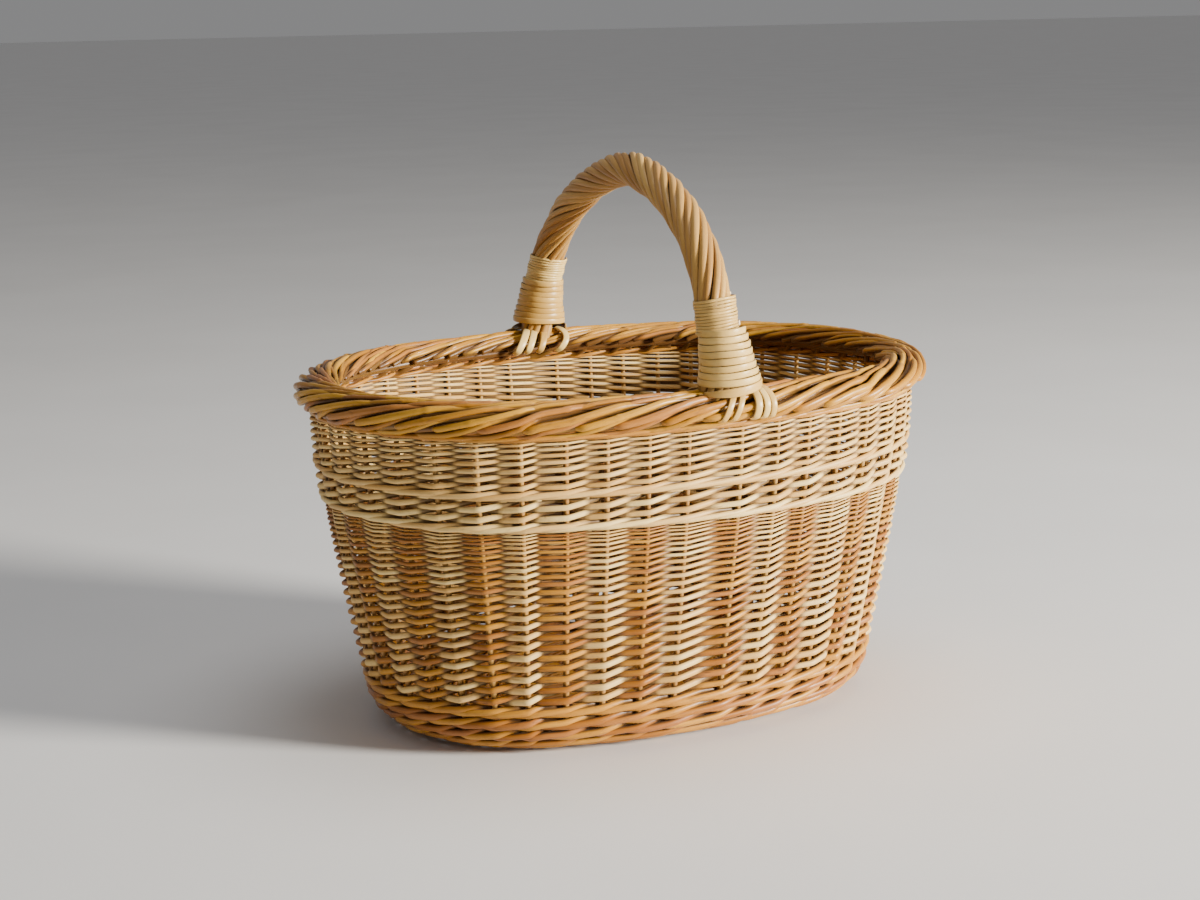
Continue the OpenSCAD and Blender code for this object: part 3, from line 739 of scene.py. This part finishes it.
def bindFoot(side, name):
    low = woundSkein(side, binding["low"], binding["lowTurns"], binding["lowStep"], 2.17 * mm, 0.75 * mm,
                     lowSection(side), (-0.11 * side, 0.10))
    makeRods("lowBinding" + name, [low, lastWrap(side)], 14, skeinWillow, "binding_willow",
             "low_binding_" + name.lower())
    # one more turn than shows starts inside the low binding, so that no gap opens between them
    highStep = binding["highStep"]
    high = woundSkein(side, bindTop - highStep, binding["highTurns"] + 1, highStep, 1.0 * mm, 0.6 * mm,
                      highSection, (-0.14 * side, 0.09))
    makeRods("highBinding" + name, [high], 8, skeinWillow, "binding_willow", "high_binding_" + name.lower())
    # each tail: where it starts and ends along the border, half its width and its bow, all in mm
    outer = {-1: ((12.5, -2, 2.2, -2), (17.8, 5.4, 2.1, -1), (22.8, 21.5, 2.7, 2), (27.4, 28, 2.3, 2.6),
                  (31.2, 33.4, 2.2, 2.8)),
             1: ((-14, -19, 2.3, -2), (-8.5, -11, 2.2, -1), (-1, 0, 2.5, 0), (6, 9, 2.2, 2),
                 (12, 17, 2.2, 2))}[side]
    outerStrips = [tailStrip(side, a, b, 72, -36, w * mm, curve) for a, b, w, curve in outer]
    makeRods("outerTails" + name, outerStrips, 12, skeinWillow, "binding_willow", "tails_out_" + name.lower())
    inner = {-1: ((-8, -14, 2.3, -1), (-2, -5, 2.3, 0), (4, 4, 2.3, 0), (14, 18, 2.3, 2)),
             1: ((-7, -22, 2.9, -1), (-1, -13, 2.7, -1), (6, -3, 2.7, 0), (17, 12, 2.5, 6))}[side]
    innerStrips = [tailStrip(side, a, b, 104, 196, w * mm, curve) for a, b, w, curve in inner]
    makeRods("innerTails" + name, innerStrips, 12, skeinWillow, "binding_willow", "tails_in_" + name.lower())


bindFoot(-1, "Front")
bindFoot(1, "Back")
print("handle done")

# ---- floor, light and camera ----



def paleFloor():
    web = Web("paleFloor")
    place = web.add("ShaderNodeTexCoord", {}, {}, 3)
    cloud = web.noise(web.stretch(place, (3, 3, 3)), 4, 0.55)
    speck = web.noise(web.stretch(place, (260, 260, 260)), 3, 0.6)
    colour = web.blend(web.ramp(cloud, (0.3, 0), (0.7, 1)), rgb(0.80, 0.79, 0.78), rgb(0.84, 0.83, 0.82))
    bump = web.add("ShaderNodeBump", {}, {"Height": speck, "Strength": 0.12, "Distance": 0.0004})
    return web.finish(Base_Color=colour, Roughness=0.62 + speck * 0.14, Normal=bump)


floorBm = bmesh.new()
bmesh.ops.create_grid(floorBm, x_segments=1, y_segments=1, size=60)
floorMesh = bpy.data.meshes.new("floor")
floorBm.to_mesh(floorMesh)
floorBm.free()
floor = bpy.data.objects.new("floor", floorMesh)
floorMesh.materials.append(paleFloor())
bpy.context.collection.objects.link(floor)

world = bpy.data.worlds.new("softRoom")
bpy.context.scene.world = world
world.use_nodes = True
world.node_tree.nodes["Background"].inputs["Color"].default_value = (0.84, 0.84, 0.85, 1)
world.node_tree.nodes["Background"].inputs["Strength"].default_value = 0.29


def softLight(name, place, target, size, power, colour):
    lamp = bpy.data.lights.new(name, "AREA")
    lamp.shape, lamp.size, lamp.energy, lamp.color = "DISK", size, power, colour
    holder = bpy.data.objects.new(name, lamp)
    holder.location = place
    holder.rotation_euler = (Vector(target) - Vector(place)).to_track_quat("-Z", "Y").to_euler()
    bpy.context.collection.objects.link(holder)


softLight("windowLight", (2.75, -2.6, 1.05), (0.0, 0.0, 0.16), 0.8, 500, (1.0, 0.955, 0.87))
softLight("skyLight", (0.2, -0.1, 1.9), (0, 0, 0.1), 1.2, 11, (0.97, 0.98, 1.0))

view = {"place": (-0.610, -1.371, 0.487), "yaw": 23.54, "pitch": -11.52, "roll": -0.02, "lens": 64.32}
yaw, pitch, roll = math.radians(view["yaw"]), math.radians(view["pitch"]), view["roll"]
ahead = Vector((math.sin(yaw) * math.cos(pitch), math.cos(yaw) * math.cos(pitch), math.sin(pitch)))
right = Vector((math.cos(yaw), -math.sin(yaw), 0))
above = right.cross(ahead)
rightR = right * math.cos(roll) + above * math.sin(roll)
aboveR = above * math.cos(roll) - right * math.sin(roll)
lens = bpy.data.cameras.new("camera")
lens.lens, lens.sensor_width = view["lens"], 36
camera = bpy.data.objects.new("camera", lens)
camera.matrix_world = Matrix((rightR, aboveR, -ahead)).transposed().to_4x4()
camera.location = view["place"]
bpy.context.collection.objects.link(camera)
bpy.context.scene.camera = camera
print("light and camera set")
